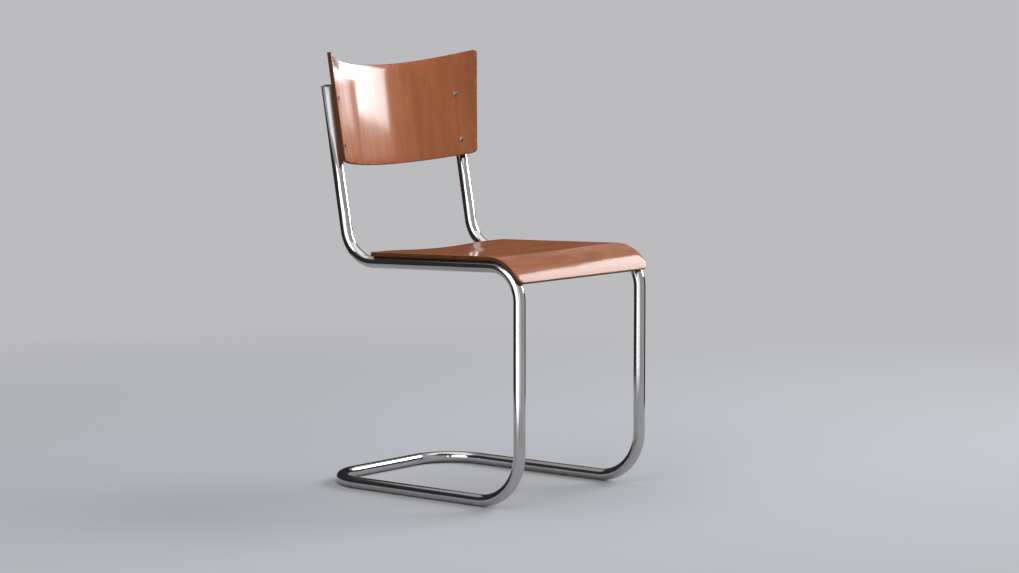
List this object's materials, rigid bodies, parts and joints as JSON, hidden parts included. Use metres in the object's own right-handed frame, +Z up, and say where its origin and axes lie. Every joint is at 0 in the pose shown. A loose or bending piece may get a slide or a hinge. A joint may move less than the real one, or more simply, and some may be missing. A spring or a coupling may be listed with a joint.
{
  "type": "cantilever chair",
  "caption": "Cantilever dining chair with a bent tubular steel frame, a plywood seat with a waterfall front and a curved plywood back.",
  "frame": {"origin": "on the floor, under the middle of the chair's overall width and depth", "axes": "+Z up, +X to the right seen from in front of the chair looking at its back, -Y towards the sitter's knees, so that the front legs are at -Y and the back at +Y"},
  "size_m": [0.4354, 0.5244, 0.8202],
  "materials": {
    "frame_steel": "bright plated, a little dulled with age",
    "plug_plastic": "matte black",
    "plywood": "clear varnish, semi-gloss, over beech veneer",
    "fastener_steel": "nickel plated, semi-gloss"
  },
  "bodies": {
    "root": {"frame_tube": "frame_steel", "end_plugs": "plug_plastic", "seat_shell": "plywood", "back_shell": "plywood", "back_screws": "fastener_steel", "seat_screws": "fastener_steel"}
  },
  "joints": []
}
